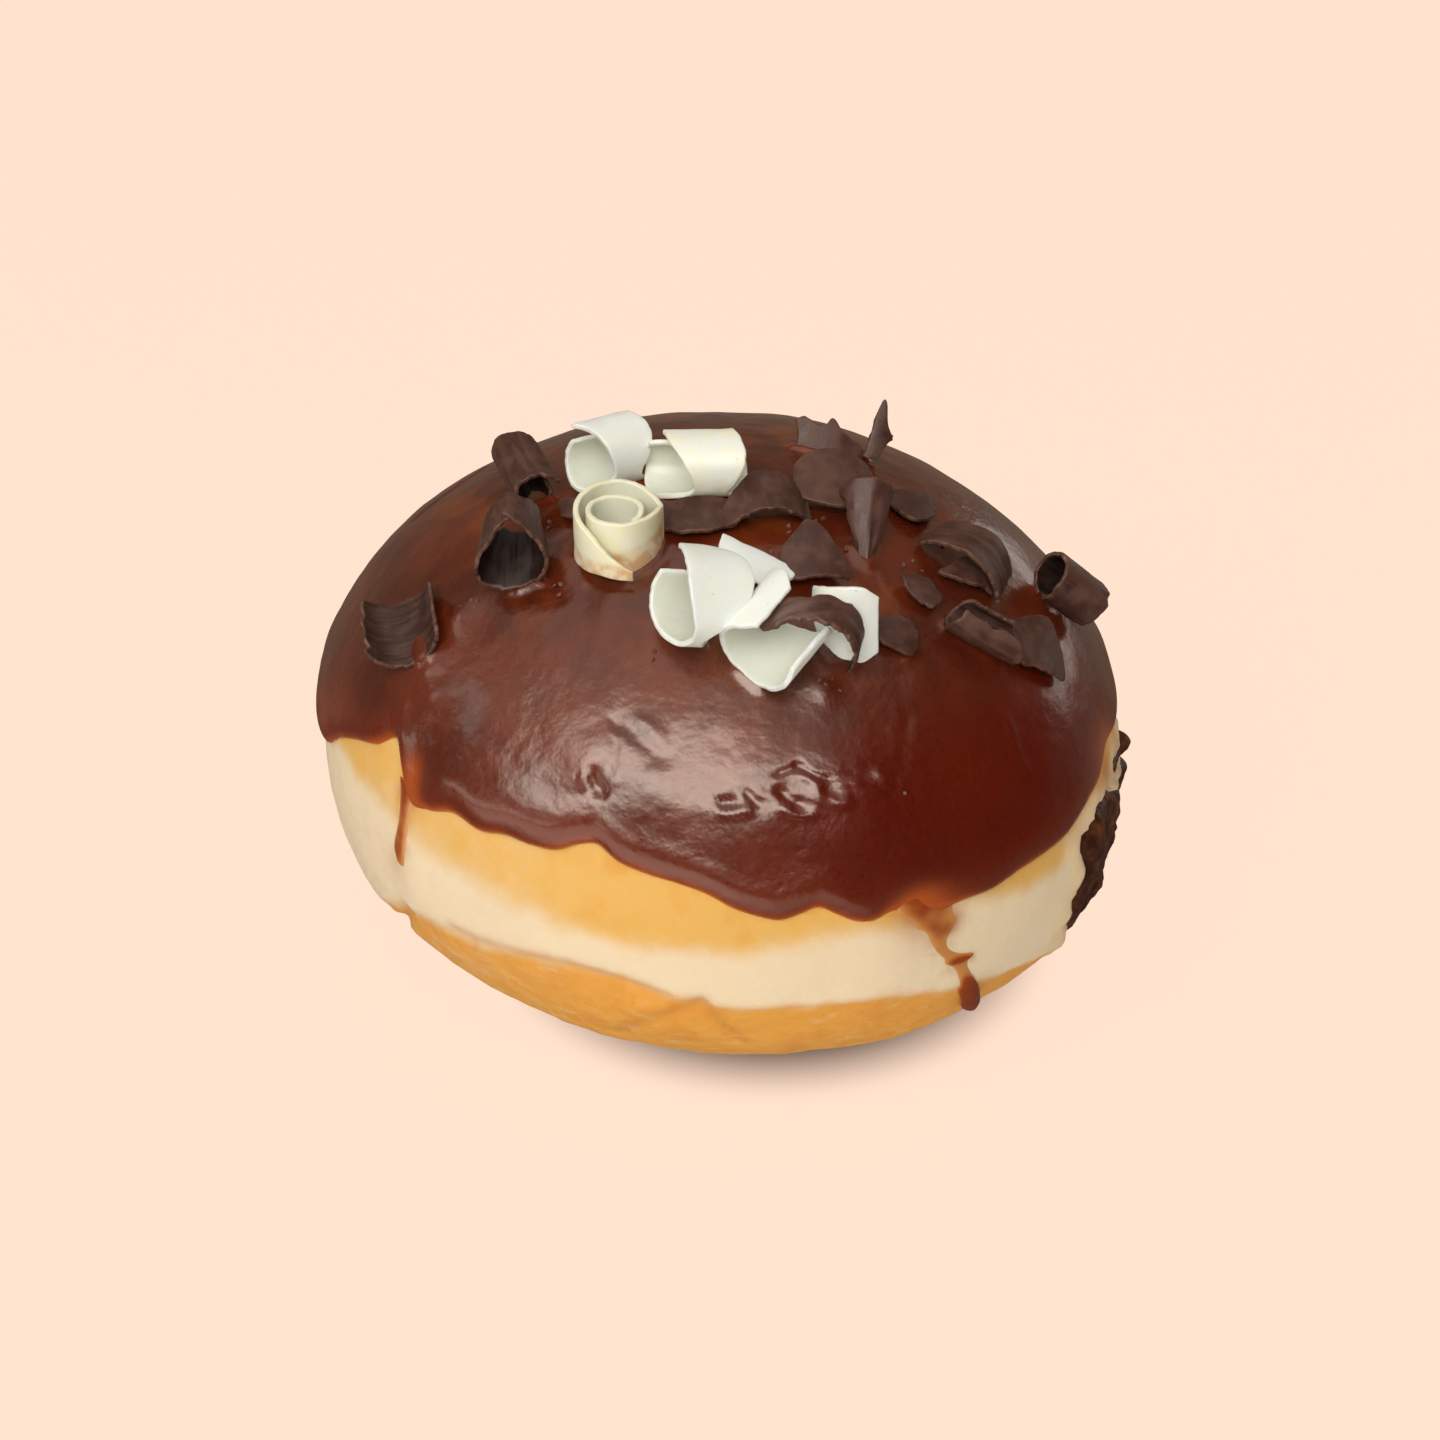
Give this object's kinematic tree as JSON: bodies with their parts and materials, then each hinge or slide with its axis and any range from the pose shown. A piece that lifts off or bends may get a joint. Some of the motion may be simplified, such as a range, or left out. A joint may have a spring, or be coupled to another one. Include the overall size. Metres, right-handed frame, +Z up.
{
  "type": "chocolate glazed filled doughnut",
  "caption": "Round filled doughnut with a dark chocolate glaze, rolled shavings of white and dark chocolate on top, and dark filling showing where it was piped in at one side.",
  "frame": {"origin": "middle of the small flat spot under the bun, below the middle of its widest level", "axes": "+Z up through the crown, -Y the front with the lowest run of glaze, +X the side where the filling shows"},
  "size_m": [0.0928, 0.089, 0.0686],
  "materials": {
    "dough": "soft fried yeast dough, golden with a pale band",
    "chocolate_filling": "thick dark chocolate cream, half matt and lumpy",
    "chocolate_glaze": "smooth glossy chocolate glaze",
    "white_chocolate": "satin white chocolate",
    "dark_chocolate": "dull dark chocolate"
  },
  "bodies": {
    "root": {"dough": "dough", "chocolate_filling": "chocolate_filling", "chocolate_glaze": "chocolate_glaze", "white_curl_1": "white_chocolate", "white_curl_2": "white_chocolate", "white_curl_3": "white_chocolate", "white_curl_4": "white_chocolate", "white_curl_5": "white_chocolate", "white_curl_6": "white_chocolate", "white_curl_7": "white_chocolate", "dark_curl_1": "dark_chocolate", "dark_curl_2": "dark_chocolate", "dark_curl_3": "dark_chocolate", "dark_curl_4": "dark_chocolate", "dark_curl_5": "dark_chocolate", "dark_curl_6": "dark_chocolate", "dark_curl_7": "dark_chocolate", "dark_curl_8": "dark_chocolate", "dark_curl_9": "dark_chocolate", "dark_flake_1": "dark_chocolate", "dark_flake_2": "dark_chocolate", "dark_flake_3": "dark_chocolate", "dark_flake_4": "dark_chocolate", "dark_flake_5": "dark_chocolate", "dark_flake_6": "dark_chocolate", "dark_flake_7": "dark_chocolate", "dark_flake_8": "dark_chocolate", "dark_flake_9": "dark_chocolate", "dark_flake_10": "dark_chocolate", "dark_flake_11": "dark_chocolate"}
  },
  "joints": []
}
